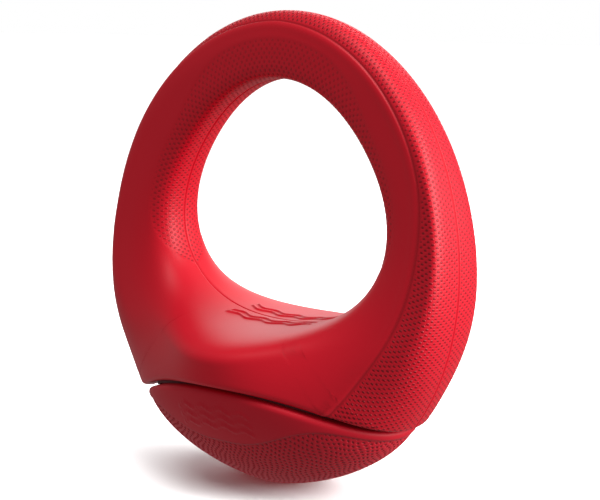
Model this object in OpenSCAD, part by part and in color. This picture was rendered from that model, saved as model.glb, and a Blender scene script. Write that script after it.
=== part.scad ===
// Self-righting ring toy: an egg-shaped foam ring with a flared foot, standing on a weighted rocker base.
// Millimetres. The ring lies in the XZ plane, Z is up, and the front is on the -Y side.
// Angles round the ring are counted from the top, towards +X.

/* [Outer outline of the ring] */
// Height of the middle of the outline above the ground
ring_centre_z = 78.5; // [76:0.5:81]
// Mean radius of the outer outline
outer_mean_r = 67.7; // [65:0.1:70]
// How much larger the outline is at the bottom than at the top
outer_bottom_growth = 6.4; // [4:0.1:9]
// How much taller the outline is than it is wide
outer_oval = 5.7; // [4:0.1:8]

/* [Hole] */
// Mean radius of the hole
hole_mean_r = 38.7; // [34:0.1:42]
// How far the hole sits above the middle of the outline
hole_rise = 7.7; // [5:0.1:10]
// How much wider the hole is than it is tall
hole_oval = 1.9; // [0:0.1:4]
// How much narrower the hole's top is than its bottom
hole_egg = 1.5; // [0:0.1:3]
// How square the hole's lower corners are
hole_corner = 0.6; // [0:0.1:1.5]

/* [Thickness of the ring] */
// Half the front-to-back thickness at the top of the ring
top_half_depth = 8.2; // [6:0.1:12]
// What the half thickness gains evenly from the top down to the foot
side_growth = 6.3; // [3:0.1:10]
// What the half thickness gains in the flared foot alone
foot_flare = 25; // [16:0.1:27]
// How suddenly the foot flares
flare_power = 5.4; // [3:0.1:8]

/* [Rocker base] */
// Half width of the base at its rim
base_half_width = 45.4; // [40:0.1:48]
// Half depth of the base at its rim, front to back
base_half_depth = 36.4; // [30:0.1:40]
// Height of the middle of the rim
rim_z = 34.7; // [30:0.1:38]
// How fast the rim falls towards its two sides, per mm of width
rim_arch = 0.0055; // [0.003:0.0005:0.007]
// Roundness of the bowl seen from the side
base_bowl_power = 1.6; // [1.5:0.01:2.2]
// Share of the bowl's width that is flat underneath
foot_flat_share = 0.16; // [0.08:0.01:0.22]

/* [Joint between ring and base] */
// Height of the dark gap between the ring and the base
gap = 1.2; // [0.8:0.1:2]
// How far the bonding layer in the gap stays inside the rim
bond_inset = 2.6; // [1.5:0.1:5]

/* [Ballast] */
// Radius of the ballast weight
ballast_r = 15; // [12:0.5:17]
// Thickness of the ballast weight
ballast_h = 17; // [10:0.5:20]
// Height of the pocket floor above the ground
pocket_floor_z = 7; // [6:0.5:9]
// Clearance round the ballast weight and the pocket plug
pocket_clearance = 0.3; // [0.1:0.05:0.6]

/* [Hidden] */

foam_red = [0.85, 0.10, 0.17];
base_red = [0.70, 0.09, 0.15];
bond_grey = [0.12, 0.03, 0.04];
steel_grey = [0.55, 0.55, 0.57];
plug_grey = [0.25, 0.25, 0.26];

// Fineness of the modelled surfaces
ring_stations = 96;
section_steps = 20;
rim_points = 96;
bowl_rows = 14;
top_rows = 5;

// The foot's lip: how low on the ring the thickest line turns in to the hole, how sharply, and how close it gets
lip_lowness = 0.8;
lip_power = 12;
lip_share = 0.13;

// Least squareness of a section's outer side, and how softly it is reached
least_power = 2.2;
softness = 0.25;

pocket_r = ballast_r + pocket_clearance;
ballast_z = pocket_floor_z;
plug_z = ballast_z + ballast_h;

function outer_r(a) = outer_mean_r - outer_bottom_growth * cos(a) + outer_oval * cos(2 * a);

function hole_r(a) =
    hole_mean_r + hole_rise * cos(a) - hole_oval * cos(2 * a) + hole_egg * cos(3 * a) + hole_corner * cos(4 * a);

// 0 at the top of the ring, 1 at the bottom
function lowness(a) = (1 - cos(a)) / 2;

function half_depth(a) = top_half_depth + side_growth * lowness(a) + foot_flare * pow(lowness(a), flare_power);

// Where across a section the ring is thickest: 0 is at the hole, 1 at the outline
function crest_share(a) =
    lip_share + (0.445 - 0.255 * cos(2 * a)) / (1 + pow(lowness(a) / lip_lowness, lip_power));

// Squareness of a section on the hole's side and on the outline's side
function inner_power(a) = 3.5 + 1.1 * cos(a);
function outer_power(a) =
    let(boxiness = 2.68 + 1.36 * cos(a) - 1.53 * cos(2 * a))
    least_power + softness * ln(1 + exp((boxiness - least_power) / softness));

function sign_pow(v, p) = sign(v) * pow(abs(v), p);

// A point on the section at angle a round the ring; t is 0 on the outline, 180 on the hole, front side
function section_point(a, t) =
    let(
        crest = hole_r(a) + crest_share(a) * (outer_r(a) - hole_r(a)),
        outside = t < 90,
        reach = outside ? outer_r(a) - crest : crest - hole_r(a),
        power = outside ? outer_power(a) : inner_power(a),
        r = crest + reach * sign_pow(cos(t), 2 / power),
        y = -half_depth(a) * pow(abs(sin(t)), 2 / power)
    )
    [r * sin(a), t == 0 || t == 180 ? 0 : y, ring_centre_z + r * cos(a)];

// Height of the base's rim and top face at a distance x from the middle
function rim_height(x) = rim_z - rim_arch * x * x;

// A closed solid from rows of points, each row closed on itself; the first and last rows are capped
module skin(rows) {
    n = len(rows[0]);
    last = len(rows) - 1;
    polyhedron(
        points = [for (row = rows) each row],
        faces = concat(
            [[for (k = [n - 1:-1:0]) k]],
            [[for (k = [0:n - 1]) last * n + k]],
            [
                for (r = [0:last - 1]) for (k = [0:n - 1])
                    each [
                        [r * n + k, r * n + (k + 1) % n, (r + 1) * n + (k + 1) % n],
                        [r * n + k, (r + 1) * n + (k + 1) % n, (r + 1) * n + k],
                    ],
            ]
        )
    );
}

// Half of the ring, in front of the seam, before the foot is cut off
module uncut_half() {
    m = section_steps + 1;
    polyhedron(
        points = [
            for (s = [0:ring_stations - 1]) for (k = [0:section_steps])
                section_point(360 * s / ring_stations, 180 * k / section_steps),
        ],
        faces = [
            for (s = [0:ring_stations - 1]) let(b = s * m, c = ((s + 1) % ring_stations) * m)
                each concat(
                    [[b, b + m - 1, c + m - 1], [b, c + m - 1, c]],
                    [
                        for (k = [0:section_steps - 1])
                            each [[b + k, c + k, c + k + 1], [b + k, c + k + 1, b + k + 1]],
                    ]
                ),
        ]
    );
}

// Everything below the rim's arch, raised by lift
module below_arch(lift) {
    reach = 70;
    step = 2.5;
    rotate([90, 0, 0])
        linear_extrude(height = 2 * reach, center = true)
            polygon([
                for (x = [-reach:step:reach]) [x, rim_height(x) + lift],
                [reach, -reach],
                [-reach, -reach],
            ]);
}

module half_of_ring() {
    difference() {
        uncut_half();
        below_arch(gap);
    }
}

// A ring of points on the rim seen from above, scaled by share and shrunk by inset, at each point's own height
function rim_ring(share, inset, lift) = [
    for (k = [0:rim_points - 1])
        let(
            a = 360 * k / rim_points,
            x = (base_half_width - inset) * cos(a) * share,
            y = (base_half_depth - inset) * sin(a) * share
        )
        [x, y, rim_height(x) + lift],
];

// A ring of points on the bowl, at a share of the rim's width, from 1 at the rim to the flat underneath
function bowl_fall(share) = 1 - pow(1 - pow(share, base_bowl_power), 1 / base_bowl_power);

function bowl_ring(share) =
    let(
        flat_fall = bowl_fall(foot_flat_share),
        rise = (bowl_fall(share) - flat_fall) / (1 - flat_fall)
    )
    [
        for (k = [0:rim_points - 1])
            let(
                a = 360 * k / rim_points,
                rim_x = base_half_width * cos(a),
                rim_y = base_half_depth * sin(a)
            )
            [rim_x * share, rim_y * share, rim_height(rim_x) * rise],
    ];

// Shares of the rim's width from the flat to the rim, closer together where the bowl is steep
bowl_shares = [
    for (r = [0:bowl_rows])
        foot_flat_share + (1 - foot_flat_share) * sin(90 * r / bowl_rows),
];

module ballast_pocket() {
    translate([0, 0, pocket_floor_z])
        cylinder(h = rim_z, r = pocket_r, $fn = 96);
}

module ring_front_half() {
    color(foam_red)
        half_of_ring();
}

module ring_back_half() {
    color(foam_red)
        mirror([0, 1, 0])
            half_of_ring();
}

module bond_layer() {
    color(bond_grey)
        skin(concat(
            [for (r = [1:top_rows]) rim_ring(r / top_rows, bond_inset, 0)],
            [for (r = [top_rows:-1:1]) rim_ring(r / top_rows, bond_inset, gap)]
        ));
}

module base_cup() {
    color(base_red)
        difference() {
            skin(concat(
                [for (share = bowl_shares) bowl_ring(share)],
                [for (r = [top_rows - 1:-1:1]) rim_ring(r / top_rows, 0, 0)]
            ));
            ballast_pocket();
        }
}

module ballast_weight() {
    color(steel_grey)
        translate([0, 0, ballast_z])
            rotate_extrude($fn = 96)
                polygon([
                    [0, 0],
                    [ballast_r - 1, 0],
                    [ballast_r, 1],
                    [ballast_r, ballast_h - 1],
                    [ballast_r - 1, ballast_h],
                    [0, ballast_h],
                ]);
}

module ballast_plug() {
    color(plug_grey)
        intersection() {
            translate([0, 0, plug_z])
                cylinder(h = rim_z, r = ballast_r, $fn = 96);
            below_arch(0);
        }
}

ring_front_half();
ring_back_half();
bond_layer();
base_cup();
ballast_weight();
ballast_plug();
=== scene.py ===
"""Looks of the self-righting ring toy: detailed foam ring halves, pitted rocker base, studio light and camera.

Lengths are in millimetres until a mesh is written, and angles round the ring are counted from its top.
"""
import math

import bmesh
import bpy
import numpy as np
from mathutils import Matrix, Vector


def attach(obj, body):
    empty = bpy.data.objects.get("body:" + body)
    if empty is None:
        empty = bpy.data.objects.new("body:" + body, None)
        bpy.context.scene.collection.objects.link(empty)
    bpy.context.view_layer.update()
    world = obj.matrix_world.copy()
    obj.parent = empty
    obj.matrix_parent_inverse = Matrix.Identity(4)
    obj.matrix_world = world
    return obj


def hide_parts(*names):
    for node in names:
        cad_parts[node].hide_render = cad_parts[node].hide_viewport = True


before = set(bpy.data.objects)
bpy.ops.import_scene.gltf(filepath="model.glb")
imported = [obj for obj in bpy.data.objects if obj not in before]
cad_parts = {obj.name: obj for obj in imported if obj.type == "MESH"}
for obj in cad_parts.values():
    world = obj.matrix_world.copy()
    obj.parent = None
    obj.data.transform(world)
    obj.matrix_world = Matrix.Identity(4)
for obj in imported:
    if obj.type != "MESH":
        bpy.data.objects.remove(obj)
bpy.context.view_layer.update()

MM = 0.001
BODY = "root"

# The ring's driving dimensions, as in the CAD model
RING_CENTRE_Z = 78.5
OUTER_MEAN_R, OUTER_BOTTOM_GROWTH, OUTER_OVAL = 67.7, 6.4, 5.7
HOLE_MEAN_R, HOLE_RISE, HOLE_OVAL, HOLE_EGG, HOLE_CORNER = 38.7, 7.7, 1.9, 1.5, 0.6
TOP_HALF_DEPTH, SIDE_GROWTH, FOOT_FLARE, FLARE_POWER = 8.2, 6.3, 25.0, 5.4
LIP_LOWNESS, LIP_POWER, LIP_SHARE = 0.8, 12, 0.13
LEAST_POWER, SOFTNESS = 2.2, 0.25

# The base's driving dimensions, as in the CAD model
BASE_HALF_WIDTH, BASE_HALF_DEPTH = 45.4, 36.4
RIM_Z, RIM_ARCH = 34.7, 0.0055
BOWL_POWER = 1.6
FLAT_SHARE = 0.16
GAP = 1.2
POCKET_R, POCKET_FLOOR_Z = 15.3, 7.0

# Mesh fineness
RING_STATIONS, RING_ROWS = 900, 100
BASE_STATIONS, BASE_ROWS = 820, 112
FINE = 2400
EDGE_SHARE = 0.8

# Surface detail
PIT_PITCH = 1.7
PIT_ROW = 1.3
BASE_PITCH, BASE_ROW = 2.0, 1.5
WANDER, WANDER_LENGTH = 0.45, 10.0
PIT_DEPTH = 0.22
SEAM_DEPTH, SEAM_HALF_WIDTH = 0.28, 0.3
EDGE_ROUND = 1.9
STEP_HEIGHT, STEP_HALF_WIDTH = 0.26, 0.55
SHOULDER_HEIGHT, SHOULDER_OFFSET, SHOULDER_HALF_WIDTH = 0.25, 1.6, 1.1
GROOVE_DEPTH, GROOVE_HALF_WIDTH = 0.12, 0.35
INNER_BAND_SINK = 0.10
INNER_FADE, INNER_FADE_RUN = 0.55, 16

# The pitted outer band: its width at the top, and how it widens with the degrees down one side
CREASE_TOP, CREASE_PER_DEGREE = 7.4, 0.07
CREASE_FLARE, CREASE_KNEE, CREASE_KNEE_SOFTNESS = 0.175, 70, 5

# The pitted inner band: its width at the sides, what it gains at the top, and the degrees where it tapers off
INNER_SIDE, INNER_TOP_GAIN = 13.6, 5.6
INNER_GAIN_FROM, INNER_GAIN_OVER = 18, 36
INNER_TAPER_FROM, INNER_TAPER_OVER, INNER_TAPER_POWER = 80, 33, 2.8

# Raised wavy lines: height, half length, rows, wave length and rise of the wave
FLOOR_WAVES = (0.45, 17.0, (4.2, 7.2), 8.5, 0.8)
PANEL_WAVES = (0.3, 14.0, (6.0, 9.0, 12.0), 7.0, 0.7)

# The base's smooth panel: how far it stands up, and how far it reaches down from the rim
PANEL_RAISE = 0.38
PANEL_LEAST, PANEL_GAIN, PANEL_SPREAD = 3.0, 15.5, 34


def smoothstep(x):
    x = np.clip(x, 0.0, 1.0)
    return x * x * (3.0 - 2.0 * x)


def bell(x, half_width):
    return np.exp(-(x / half_width) ** 2)


# ---------------------------------------------------------------- ring shape
def outer_r(a):
    return OUTER_MEAN_R - OUTER_BOTTOM_GROWTH * np.cos(a) + OUTER_OVAL * np.cos(2 * a)


def hole_r(a):
    egg = HOLE_EGG * np.cos(3 * a) + HOLE_CORNER * np.cos(4 * a)
    return HOLE_MEAN_R + HOLE_RISE * np.cos(a) - HOLE_OVAL * np.cos(2 * a) + egg


def lowness(a):
    return (1 - np.cos(a)) / 2


def half_depth(a):
    return TOP_HALF_DEPTH + SIDE_GROWTH * lowness(a) + FOOT_FLARE * lowness(a) ** FLARE_POWER


def crest_share(a):
    return LIP_SHARE + (0.445 - 0.255 * np.cos(2 * a)) / (1 + (lowness(a) / LIP_LOWNESS) ** LIP_POWER)


def inner_power(a):
    return 3.5 + 1.1 * np.cos(a)


def outer_power(a):
    boxiness = 2.68 + 1.36 * np.cos(a) - 1.53 * np.cos(2 * a)
    return LEAST_POWER + SOFTNESS * np.logaddexp(0, (boxiness - LEAST_POWER) / SOFTNESS)


def ring_point(a, q):
    """The front half's surface: a is the angle round the ring, q runs from 0 on the outline to pi on the hole."""
    crest = hole_r(a) + crest_share(a) * (outer_r(a) - hole_r(a))
    outside = q < math.pi / 2
    reach = np.where(outside, outer_r(a) - crest, crest - hole_r(a))
    power = np.where(outside, outer_power(a), inner_power(a))
    c, s = np.cos(q), np.maximum(np.sin(q), 0.0)
    r = crest + reach * np.sign(c) * np.abs(c) ** (2 / power)
    return np.stack([r * np.sin(a), -half_depth(a) * s ** (2 / power), RING_CENTRE_Z + r * np.cos(a)], -1)


def rim_height(x):
    return RIM_Z - RIM_ARCH * x * x


def lengths(points):
    """Distance run along the last axis of a grid of points, from 0."""
    steps = np.linalg.norm(np.diff(points, axis=-2), axis=-1)
    start = np.zeros(steps.shape[:-1] + (1,))
    return np.concatenate([start, np.cumsum(steps, -1)], -1)


def rows_by_weight(run, weight, count):
    """Places along each station where count + 1 rows go, closer together where the weight is larger."""
    middle = (weight[:, 1:] + weight[:, :-1]) / 2
    total = np.concatenate([np.zeros((len(run), 1)), np.cumsum(np.diff(run, axis=1) * middle, 1)], 1)
    share = np.linspace(0, 1, count + 1)
    return np.stack([np.interp(share * t[-1], t, r) for t, r in zip(total, run)])


def crease_width(a):
    """Width of the pitted outer band, from the seam to the crease: it widens down one side only."""
    low = np.degrees(np.maximum(a, 0))
    flare = CREASE_KNEE_SOFTNESS * np.logaddexp(0, (low - CREASE_KNEE) / CREASE_KNEE_SOFTNESS)
    return CREASE_TOP + CREASE_PER_DEGREE * low + CREASE_FLARE * flare


def inner_width(a):
    """Width of the pitted inner band, measured from the inner seam."""
    low = np.degrees(np.abs(a))
    width = INNER_SIDE + INNER_TOP_GAIN * (1 - smoothstep((low - INNER_GAIN_FROM) / INNER_GAIN_OVER))
    taper = np.clip((low - INNER_TAPER_FROM) / INNER_TAPER_OVER, 0, 1) ** INNER_TAPER_POWER
    return width * (1 - taper)


def pits(along, across, pitch, row):
    """A staggered lattice: 1 in the middle of each pit, 0 between the pits."""
    wave = np.cos(2 * np.pi * along / pitch) * np.cos(np.pi * across / row)
    return smoothstep((wave - 0.05) / 0.95)


def ring_stations():
    """Angles round the ring, spaced evenly along its crest and the half's free edge together."""
    a = np.linspace(-math.pi, math.pi, 8 * FINE + 1)
    q = np.linspace(0, math.pi, 241)
    grid = ring_point(a[:, None], q[None, :])
    above = grid[..., 2] - rim_height(grid[..., 0]) - GAP
    edge = grid[:, 0].copy()
    for i in np.nonzero((above < 0).any(1))[0]:
        last = len(q) - 1 - np.argmax(above[i, ::-1] < 0)
        part = above[i, last] / (above[i, last] - above[i, last + 1])
        edge[i] = grid[i, last] + part * (grid[i, last + 1] - grid[i, last])
    run = EDGE_SHARE * lengths(edge[None])[0] + lengths(ring_point(a, np.full_like(a, math.pi / 2))[None])[0]
    return np.interp(np.linspace(0, run[-1], RING_STATIONS + 1)[:-1], run, a)


def ring_grid():
    """Points, normals and surface coordinates of the front half's skin, as arrays (station, row)."""
    a = ring_stations()
    q = np.linspace(0, math.pi, FINE)
    fine = ring_point(a[:, None], q[None, :])
    from_seam = lengths(fine)
    above = fine[..., 2] - rim_height(fine[..., 0]) - GAP
    below = above < 0
    cut = np.zeros(len(a))
    for i in np.nonzero(below.any(1))[0]:
        last = len(q) - 1 - np.argmax(below[i, ::-1])
        part = above[i, last] / (above[i, last] - above[i, last + 1])
        cut[i] = from_seam[i, last] + part * (from_seam[i, last + 1] - from_seam[i, last])
    total = from_seam[:, -1]
    run = cut[:, None] + (total - cut)[:, None] * np.linspace(0, 1, FINE)[None]
    crease, inner = crease_width(a)[:, None], (total - inner_width(a))[:, None]
    on_floor = smoothstep((np.abs(a)[:, None] - 1.7) / 0.8) * smoothstep((18 - total[:, None] + run) / 6)
    weight = np.maximum(smoothstep((crease - run) / 2 + 1) + smoothstep((run - inner) / 2 + 1), on_floor)
    weight = 0.42 + 0.58 * weight
    weight += 1.6 * bell(run - crease, 0.9) + 0.4 * bell(run - inner, 0.9)
    weight += 2.5 * bell(run - cut[:, None], 0.9) + 2.5 * bell(total[:, None] - run, 0.5)
    places = rows_by_weight(run, weight, RING_ROWS)
    turns = np.stack([np.interp(p, f, q) for p, f in zip(places, from_seam)])
    points = ring_point(a[:, None], turns)
    near = 1e-4
    round_ring = ring_point(a[:, None] + near, turns) - ring_point(a[:, None] - near, turns)
    up_q, down_q = np.minimum(turns + near, math.pi), np.maximum(turns - near, 0)
    across = ring_point(a[:, None], up_q) - ring_point(a[:, None], down_q)
    normals = np.cross(across, round_ring)
    normals /= np.maximum(np.linalg.norm(normals, axis=-1, keepdims=True), 1e-12)
    return a, points, normals, places, cut, total


def rounding(from_edge):
    """How far a rounded edge falls back from the sharp one at a distance from it."""
    inside = np.clip(EDGE_ROUND - from_edge, 0, EDGE_ROUND)
    return EDGE_ROUND - np.sqrt(EDGE_ROUND ** 2 - inside ** 2)


def wave_lines(along, across, height, half_length, rows, length, rise):
    """Raised wavy lines, with their full height on a line and 0 off it."""
    lines = np.zeros_like(along)
    for centre in rows:
        off = np.abs(across - centre - rise * np.cos(2 * np.pi * along / length))
        lines = np.maximum(lines, smoothstep((0.75 - off) / 0.45))
    return height * lines * smoothstep((half_length - np.abs(along)) / 1.2)


def ring_skin():
    a, points, normals, places, cut, total = ring_grid()
    outline = lengths(ring_point(a, np.zeros_like(a))[None])[0]
    outline -= np.interp(0, a, outline)
    hole_line = lengths(ring_point(a, np.full_like(a, math.pi))[None])[0]
    hole_line -= np.interp(0, a, hole_line)
    round_hole = hole_line[-1] - hole_line[0]
    along_out = np.broadcast_to(outline[:, None], places.shape)
    along_in = np.broadcast_to(hole_line[:, None], places.shape)
    from_hole = total[:, None] - places
    crease, inner = crease_width(a)[:, None], inner_width(a)[:, None]
    in_outer = smoothstep((crease - places - 0.5) / 0.8)
    in_inner = smoothstep((inner - from_hole - 0.2) / 1.2)
    clear_of_seam = smoothstep((places - 0.5) / 0.7) * smoothstep((from_hole - 0.5) / 0.7)
    outer_pits = pits(along_out, places, PIT_PITCH, PIT_ROW) * in_outer
    inner_pits = pits(along_in, from_hole, PIT_PITCH, PIT_ROW) * in_inner
    fading = 1 - INNER_FADE * smoothstep(from_hole / INNER_FADE_RUN)
    height = -PIT_DEPTH * clear_of_seam * np.maximum(outer_pits, fading * inner_pits)
    # The smooth face stands a little proud of the pitted band, with a rounded shoulder and a fine groove
    height += STEP_HEIGHT * smoothstep((places - crease) / STEP_HALF_WIDTH)
    height += SHOULDER_HEIGHT * bell(places - crease - SHOULDER_OFFSET, SHOULDER_HALF_WIDTH)
    height -= GROOVE_DEPTH * bell(places - crease, GROOVE_HALF_WIDTH)
    height -= INNER_BAND_SINK * smoothstep((inner - from_hole) / 1.5)
    # Seam on the middle plane, outside and inside
    height -= SEAM_DEPTH * (bell(places, SEAM_HALF_WIDTH) + bell(from_hole, SEAM_HALF_WIDTH))
    # Raised wavy lines on the hole's floor
    off_bottom = np.where(along_in > 0, round_hole / 2 - along_in, -round_hole / 2 - along_in)
    height += wave_lines(off_bottom, from_hole, *FLOOR_WAVES)
    # Rounded edge round the gap
    over_gap = np.maximum(points[..., 2] - rim_height(points[..., 0]) - GAP, 0)
    height -= rounding(over_gap)
    skin = points + normals * height[..., None]
    skin[:, -1, 1] = 0.0
    skin[:, 0, 1] = np.where(cut > 0.01, skin[:, 0, 1], 0.0)
    uv = np.where((from_hole < inner)[..., None],
                  np.stack([along_in, from_hole], -1), np.stack([along_out, places], -1))
    # Where the pits are; the material paints these pits darker as painted shade
    pitted = np.maximum(in_outer, fading * in_inner) * clear_of_seam
    seam = bell(np.minimum(places, from_hole), 0.35)
    # The third channel is the crease line, which the material darkens as painted shade
    masks = np.stack([pitted, in_inner, bell(places - crease, 0.5), seam], -1)
    return a, skin, uv, masks


def inner_closing_row(a):
    """Points of the flat seam face and the arched underside that close the half."""
    r = np.linspace(20, 90, 1401)[None]
    x, z = r * np.sin(a)[:, None], RING_CENTRE_Z + r * np.cos(a)[:, None]
    over = z > rim_height(x) + GAP
    arch_r = np.where(over.all(1), 1e3, r[0, np.argmin(over, 1)])
    close_r = np.minimum(outer_r(a) - 2.0, arch_r)
    return np.stack([close_r * np.sin(a), 0 * a, RING_CENTRE_Z + close_r * np.cos(a)], -1)


# ---------------------------------------------------------------- mesh writing
def grid_faces(stations, rows):
    """Quads of a grid closed on itself along the stations."""
    i = np.arange(stations)
    j = np.arange(rows - 1)
    here = i[:, None] * rows + j[None]
    after = ((i + 1) % stations)[:, None] * rows + j[None]
    return np.stack([here, after, after + 1, here + 1], -1).reshape(-1, 4)


def write_mesh(name, points, faces, uv, masks, flip=False):
    if flip:
        faces = faces[:, ::-1]
    mesh = bpy.data.meshes.new(name)
    mesh.vertices.add(len(points))
    mesh.vertices.foreach_set("co", (points * MM).astype(np.float32).ravel())
    mesh.loops.add(faces.size)
    mesh.loops.foreach_set("vertex_index", faces.astype(np.int32).ravel())
    mesh.polygons.add(len(faces))
    mesh.polygons.foreach_set("loop_start", np.arange(0, faces.size, 4, dtype=np.int32))
    mesh.update(calc_edges=True)
    mesh.polygons.foreach_set("use_smooth", np.ones(len(faces), bool))
    layer = mesh.uv_layers.new(name="surface_mm")
    layer.data.foreach_set("uv", uv[faces.ravel()].astype(np.float32).ravel())
    colours = mesh.attributes.new("zones", "FLOAT_COLOR", "POINT")
    colours.data.foreach_set("color", masks.astype(np.float32).ravel())
    mesh.validate()
    piece = bpy.data.objects.new(name, mesh)
    bpy.context.scene.collection.objects.link(piece)
    return piece


def build_ring_halves():
    a, skin, uv, masks = ring_skin()
    closing = inner_closing_row(a)
    rows = np.concatenate([skin, closing[:, None]], 1)
    stations, count = rows.shape[:2]
    pad = lambda grid: np.concatenate([grid, grid[:, -1:]], 1).reshape(-1, grid.shape[-1])
    faces = grid_faces(stations, count)
    first, last = np.arange(stations) * count, np.arange(stations) * count + count - 1
    closing_faces = np.stack([last, np.roll(last, -1), np.roll(first, -1), first], -1)
    faces = np.concatenate([faces, closing_faces])
    points = rows.reshape(-1, 3)
    front = write_mesh("ring_front", points, faces, pad(uv), pad(masks))
    back = write_mesh("ring_back", points * np.array([1, -1, 1]), faces, pad(uv), pad(masks), flip=True)
    return front, back


# ---------------------------------------------------------------- base
def bowl_fall(share):
    return 1 - (1 - share ** BOWL_POWER) ** (1 / BOWL_POWER)


def bowl_point(u, share):
    x = BASE_HALF_WIDTH * np.cos(u)
    y = BASE_HALF_DEPTH * np.sin(u)
    flat = bowl_fall(FLAT_SHARE)
    rise = np.maximum(bowl_fall(share) - flat, 0) / (1 - flat)
    return np.stack([x * share, y * share, rim_height(x) * rise], -1)


def panel_width(u):
    """How far the smooth panel reaches down from the rim: deepest at the front and the back."""
    off = np.degrees(np.arccos(np.clip(np.abs(np.sin(u)), 0, 1)))
    return PANEL_LEAST + PANEL_GAIN * np.exp(-(off / PANEL_SPREAD) ** 3)


def build_base():
    fine_u = np.linspace(0, 2 * math.pi, 8 * FINE + 1)
    rim_run = lengths(bowl_point(fine_u, np.ones_like(fine_u))[None])[0]
    u = np.interp(np.linspace(0, rim_run[-1], BASE_STATIONS + 1)[:-1], rim_run, fine_u)
    share = np.sin(np.linspace(math.pi / 2, 0, FINE))
    fine = bowl_point(u[:, None], share[None])
    run = lengths(fine)
    total = run[:, -1:]
    panel = panel_width(u)[:, None]
    weight = np.where(run < panel, 0.6, 1.0) * (0.35 + 0.65 * share[None])
    weight += 3.0 * bell(run, 1.2) + 0.8 * bell(run - panel, 0.8)
    places = rows_by_weight(run, weight, BASE_ROWS)
    shares = np.stack([np.interp(p, r, share) for p, r in zip(places, run)])
    points = bowl_point(u[:, None], shares)
    near = 1e-4
    top = np.minimum(shares + near, 1 - 1e-9)
    down = bowl_point(u[:, None], np.maximum(shares - near, 0)) - bowl_point(u[:, None], top)
    round_base = bowl_point(u[:, None] + near, shares) - bowl_point(u[:, None] - near, shares)
    normals = np.cross(down, round_base)
    size = np.linalg.norm(normals, axis=-1, keepdims=True)
    normals = np.where(size > 1e-12, normals / np.maximum(size, 1e-12), [0, 0, -1.0])
    from_pole = total - places
    plan = np.stack([points[..., 0], points[..., 1]], -1)
    reach = np.maximum(np.linalg.norm(plan, axis=-1), 1e-6)
    flat_map = plan / reach[..., None] * from_pole[..., None]
    # The base's pits run in slightly wandering rows
    flat_map = flat_map + WANDER * np.sin(2 * np.pi * flat_map[..., ::-1] / WANDER_LENGTH)
    lattice = pits(flat_map[..., 0], flat_map[..., 1], BASE_PITCH, BASE_ROW)
    on_panel = smoothstep((panel - places + 0.4) / 0.8)
    off_panel = smoothstep((places - panel - 0.3) / 0.9)
    off_flat = smoothstep((shares - FLAT_SHARE - 0.03) / 0.04)
    height = -PIT_DEPTH * lattice * off_panel * off_flat
    height += PANEL_RAISE * on_panel
    height += wave_lines(points[..., 0], places, *PANEL_WAVES) * on_panel
    height -= PANEL_RAISE * smoothstep((FLAT_SHARE * 2 - shares) / FLAT_SHARE) * on_panel
    height -= rounding(places)
    skin = points + normals * height[..., None]
    skin[..., 2] = np.maximum(skin[..., 2], 0.0)
    # Top face in to the pocket's mouth, then the pocket's wall and floor
    angle = np.arctan2(skin[:, 0, 1], skin[:, 0, 0])
    mouth = np.stack([POCKET_R * np.cos(angle), POCKET_R * np.sin(angle)], -1)
    tops = []
    for part in (1.0, 0.66, 0.33, 0.0):
        edge = skin[:, 0, :2] * part + mouth * (1 - part)
        if part < 1.0:
            tops.append(np.concatenate([edge, rim_height(edge[:, :1])], 1))
    wall = np.concatenate([mouth, np.full((len(u), 1), POCKET_FLOOR_Z)], 1)
    inner = np.concatenate([mouth * 0.05, np.full((len(u), 1), POCKET_FLOOR_Z)], 1)
    rows = np.concatenate([inner[:, None], wall[:, None]] + [t[:, None] for t in tops[::-1]] + [skin], 1)
    extra = rows.shape[1] - skin.shape[1]
    uv = np.concatenate([np.zeros((len(u), extra, 2)), flat_map], 1).reshape(-1, 2)
    # Where the base is pitted; the material paints its pits darker as painted shade
    off_panel_mask = smoothstep((places - panel) / 0.6)
    # The third channel is the panel's edge line, which the material darkens as painted shade
    zones = np.stack([off_panel_mask, on_panel, bell(places - panel, 0.6), bell(places, 1.5)], -1)
    zones = np.concatenate([np.zeros((len(u), extra, 4)), zones], 1).reshape(-1, 4)
    stations, count = rows.shape[:2]
    faces = grid_faces(stations, count)
    return write_mesh("rocker_base", rows.reshape(-1, 3), faces, uv, zones, flip=True), stations, count


def cap_ends(piece, stations, count):
    """Closes the two open ends of a grid with n-gons."""
    bm = bmesh.new()
    bm.from_mesh(piece.data)
    bm.verts.ensure_lookup_table()
    for row in (0, count - 1):
        ring = [bm.verts[i * count + row] for i in range(stations)]
        bm.faces.new(ring)
    bmesh.ops.recalc_face_normals(bm, faces=bm.faces)
    bm.to_mesh(piece.data)
    bm.free()


# ---------------------------------------------------------------- materials
def new_material(name):
    mat = bpy.data.materials.new(name)
    mat.use_nodes = True
    tree = mat.node_tree
    return mat, tree, tree.nodes["Principled BSDF"]


def add_node(tree, kind, **settings):
    node = tree.nodes.new(kind)
    for key, value in settings.items():
        setattr(node, key, value)
    return node


def link(tree, source, target):
    tree.links.new(source, target)


def maths(tree, operation, first, second=None):
    node = add_node(tree, "ShaderNodeMath", operation=operation)
    for socket, value in zip(node.inputs, (first, second)):
        if value is None:
            continue
        if isinstance(value, (int, float)):
            socket.default_value = value
        else:
            link(tree, value, socket)
    return node.outputs[0]


def mix_colour(tree, factor, first, second, blend="MIX"):
    node = add_node(tree, "ShaderNodeMix", data_type="RGBA", blend_type=blend)
    for socket, value in ((node.inputs["Factor"], factor), (node.inputs[6], first), (node.inputs[7], second)):
        if isinstance(value, (int, float)):
            socket.default_value = value
        elif isinstance(value, tuple):
            socket.default_value = (*value, 1.0)
        else:
            link(tree, value, socket)
    return node.outputs[2]


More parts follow.
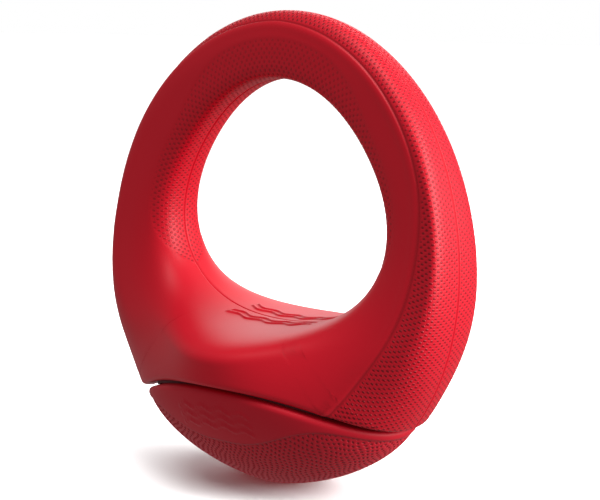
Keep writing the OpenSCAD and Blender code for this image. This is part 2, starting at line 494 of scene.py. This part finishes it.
def pit_pattern(tree, pitch, row):
    """The same lattice as the mesh's pits, from the surface coordinates."""
    place = add_node(tree, "ShaderNodeUVMap", uv_map="surface_mm")
    split = add_node(tree, "ShaderNodeSeparateXYZ")
    link(tree, place.outputs[0], split.inputs[0])
    wave_x = maths(tree, "COSINE", maths(tree, "MULTIPLY", split.outputs[0], 2 * math.pi / pitch))
    wave_y = maths(tree, "COSINE", maths(tree, "MULTIPLY", split.outputs[1], math.pi / row))
    wave = maths(tree, "MULTIPLY", wave_x, wave_y)
    ramp = add_node(tree, "ShaderNodeMapRange", interpolation_type="SMOOTHSTEP")
    ramp.inputs["From Min"].default_value = 0.15
    ramp.inputs["From Max"].default_value = 0.85
    link(tree, wave, ramp.inputs["Value"])
    return ramp.outputs[0]


def foam_material(name, light, painted_shade, pitch, row, roughness):
    mat, tree, shader = new_material(name)
    zones = add_node(tree, "ShaderNodeVertexColor", layer_name="zones")
    split = add_node(tree, "ShaderNodeSeparateColor")
    link(tree, zones.outputs["Color"], split.inputs[0])
    place = add_node(tree, "ShaderNodeTexCoord")
    clouds = add_node(tree, "ShaderNodeTexNoise")
    clouds.inputs["Scale"].default_value = 28
    clouds.inputs["Detail"].default_value = 3
    link(tree, place.outputs["Object"], clouds.inputs["Vector"])
    grain = add_node(tree, "ShaderNodeTexNoise")
    grain.inputs["Scale"].default_value = 2600
    grain.inputs["Detail"].default_value = 2
    link(tree, place.outputs["Object"], grain.inputs["Vector"])
    pitted = maths(tree, "MULTIPLY", pit_pattern(tree, pitch, row), split.outputs[0])
    colour = mix_colour(tree, clouds.outputs["Fac"], light, tuple(c * 0.9 for c in light))
    # Painted shade: the pits are mixed toward the darker shade colour
    dark = maths(tree, "MULTIPLY", pitted, 0.85)
    colour = mix_colour(tree, dark, colour, painted_shade)
    # Painted shade: a darker line along the ring's crease and along the base panel's edge
    line = maths(tree, "MULTIPLY", split.outputs[2], 0.45)
    colour = mix_colour(tree, line, colour, painted_shade)
    link(tree, colour, shader.inputs["Base Color"])
    rough = add_node(tree, "ShaderNodeMapRange")
    rough.inputs["To Min"].default_value = roughness - 0.05
    rough.inputs["To Max"].default_value = roughness + 0.06
    link(tree, clouds.outputs["Fac"], rough.inputs["Value"])
    link(tree, rough.outputs[0], shader.inputs["Roughness"])
    height = maths(tree, "SUBTRACT", maths(tree, "MULTIPLY", grain.outputs["Fac"], 0.12), pitted)
    bump = add_node(tree, "ShaderNodeBump")
    bump.inputs["Strength"].default_value = 0.8
    bump.inputs["Distance"].default_value = 0.00022
    link(tree, height, bump.inputs["Height"])
    link(tree, bump.outputs[0], shader.inputs["Normal"])
    shader.inputs["Specular IOR Level"].default_value = 0.26
    shader.inputs["Sheen Weight"].default_value = 0.03
    shader.inputs["Sheen Roughness"].default_value = 0.4
    shader.inputs["Sheen Tint"].default_value = (1.0, 0.55, 0.6, 1.0)
    return mat


def plain_material(name, colour, roughness, metallic, scale, bump_mm):
    """Cast or moulded stuff inside the toy: fine mottling and grain."""
    mat, tree, shader = new_material(name)
    place = add_node(tree, "ShaderNodeTexCoord")
    noise = add_node(tree, "ShaderNodeTexNoise")
    noise.inputs["Scale"].default_value = scale
    noise.inputs["Detail"].default_value = 4
    link(tree, place.outputs["Object"], noise.inputs["Vector"])
    shade = mix_colour(tree, noise.outputs["Fac"], colour, tuple(c * 0.7 for c in colour))
    link(tree, shade, shader.inputs["Base Color"])
    rough = add_node(tree, "ShaderNodeMapRange")
    rough.inputs["To Min"].default_value = roughness - 0.08
    rough.inputs["To Max"].default_value = roughness + 0.08
    link(tree, noise.outputs["Fac"], rough.inputs["Value"])
    link(tree, rough.outputs[0], shader.inputs["Roughness"])
    bump = add_node(tree, "ShaderNodeBump")
    bump.inputs["Distance"].default_value = bump_mm * MM
    link(tree, noise.outputs["Fac"], bump.inputs["Height"])
    link(tree, bump.outputs[0], shader.inputs["Normal"])
    shader.inputs["Metallic"].default_value = metallic
    return mat


def dress(piece, material):
    piece.data.materials.clear()
    piece.data.materials.append(material)


def dress_cad_node(node, material):
    for slot in bpy.data.objects[node].material_slots:
        slot.material = material


# ---------------------------------------------------------------- stage
def look_from(target, azimuth, elevation, distance, roll):
    """Camera or light matrix: azimuth 0 looks along +Y, and a positive azimuth moves to +X."""
    back = Vector((math.sin(azimuth) * math.cos(elevation),
                   -math.cos(azimuth) * math.cos(elevation), math.sin(elevation)))
    right = Vector((math.cos(azimuth), math.sin(azimuth), 0))
    up = back.cross(right)
    turned_right = right * math.cos(roll) + up * math.sin(roll)
    turned_up = up * math.cos(roll) - right * math.sin(roll)
    matrix = Matrix((turned_right, turned_up, back)).transposed().to_4x4()
    matrix.translation = Vector(target) + back * distance
    return matrix


def add_camera():
    camera = bpy.data.cameras.new("camera")
    camera.sensor_width = 36
    camera.lens = 94.07
    camera.shift_x = 0.0245
    camera.clip_start = 0.01
    holder = bpy.data.objects.new("camera", camera)
    bpy.context.scene.collection.objects.link(holder)
    holder.matrix_world = look_from((0, 0, 0.0723), math.radians(37.2), math.radians(8.16), 0.4838, 0.0174)
    bpy.context.scene.camera = holder


def add_light(name, azimuth, elevation, distance, size, power):
    light = bpy.data.lights.new(name, "AREA")
    light.shape = "RECTANGLE"
    light.size, light.size_y = size
    light.energy = power
    holder = bpy.data.objects.new(name, light)
    bpy.context.scene.collection.objects.link(holder)
    holder.matrix_world = look_from((0, 0, 0.07), math.radians(azimuth), math.radians(elevation), distance, 0)
    holder.visible_camera = False


def add_floor():
    size = 12.0
    mesh = bpy.data.meshes.new("floor")
    corners = [(-size, -size, 0), (size, -size, 0), (size, size, 0), (-size, size, 0)]
    mesh.from_pydata(corners, [], [(0, 1, 2, 3)])
    floor = bpy.data.objects.new("floor", mesh)
    bpy.context.scene.collection.objects.link(floor)
    mat, tree, shader = new_material("pale_floor")
    shader.inputs["Base Color"].default_value = (0.9, 0.9, 0.9, 1)
    shader.inputs["Roughness"].default_value = 0.8
    dress(floor, mat)
    # The toy takes its light from the lamps and not from the brightly lit floor
    floor.visible_diffuse = False
    floor.visible_glossy = False
    return floor


def light_floor_only(floor):
    """A soft light from above that whitens the floor evenly and leaves the toy's own shading alone."""
    only_floor = bpy.data.collections.new("floor_only")
    only_floor.objects.link(floor)
    sun = bpy.data.lights.new("floor_light", "SUN")
    sun.energy = 3.5
    sun.angle = math.radians(70)
    holder = bpy.data.objects.new("floor_light", sun)
    bpy.context.scene.collection.objects.link(holder)
    holder.light_linking.receiver_collection = only_floor


def set_world():
    world = bpy.data.worlds.new("studio")
    bpy.context.scene.world = world
    world.use_nodes = True
    background = world.node_tree.nodes["Background"]
    background.inputs["Color"].default_value = (1, 1, 1, 1)
    background.inputs["Strength"].default_value = 0.38
    # The backdrop is seen white, and lights the toy only softly
    backdrop = add_node(world.node_tree, "ShaderNodeBackground")
    backdrop.inputs["Color"].default_value = (1, 1, 1, 1)
    path = add_node(world.node_tree, "ShaderNodeLightPath")
    mix = add_node(world.node_tree, "ShaderNodeMixShader")
    link(world.node_tree, path.outputs["Is Camera Ray"], mix.inputs[0])
    link(world.node_tree, background.outputs[0], mix.inputs[1])
    link(world.node_tree, backdrop.outputs[0], mix.inputs[2])
    link(world.node_tree, mix.outputs[0], world.node_tree.nodes["World Output"].inputs[0])


# ---------------------------------------------------------------- assembly
bpy.context.scene.view_settings.view_transform = "Standard"
add_camera()
light_floor_only(add_floor())
set_world()
add_light("key_right", 112, 18, 0.8, (0.45, 0.6), 10)
add_light("overhead", 70, 72, 0.8, (0.5, 0.5), 4)
add_light("behind", -150, 22, 0.9, (0.9, 0.5), 2.5)

RED = (0.62, 0.0015, 0.015)
# Darker red that the ring's pits and crease line are mixed toward: painted shade
RING_PAINTED_SHADE = (0.22, 0.001, 0.006)
BASE_RED = (0.56, 0.002, 0.016)
# Darker red that the base's pits and panel edge are mixed toward: painted shade
BASE_PAINTED_SHADE = (0.2, 0.001, 0.006)
ring_red = foam_material("ring_foam_red", RED, RING_PAINTED_SHADE, PIT_PITCH, PIT_ROW, 0.45)
base_red = foam_material("base_rubber_red", BASE_RED, BASE_PAINTED_SHADE, BASE_PITCH, BASE_ROW, 0.55)

ring_front, ring_back = build_ring_halves()
for half, node in ((ring_front, "ring_front_half"), (ring_back, "ring_back_half")):
    dress(half, ring_red)
    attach(half, BODY)
    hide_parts(node)

rocker_base, base_stations, base_count = build_base()
cap_ends(rocker_base, base_stations, base_count)
dress(rocker_base, base_red)
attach(rocker_base, BODY)
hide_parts("base_cup")

# The glue layer between ring and base is real, but its dark colour is painted shade of the groove between them
dress_cad_node("bond_layer", plain_material("bond_glue_groove_shade", (0.13, 0.003, 0.007), 0.7, 0.0, 300, 0.05))
dress_cad_node("ballast_weight", plain_material("cast_iron_grey", (0.16, 0.16, 0.17), 0.6, 0.85, 500, 0.1))
dress_cad_node("ballast_plug", plain_material("plug_rubber", (0.03, 0.03, 0.034), 0.7, 0.0, 400, 0.05))
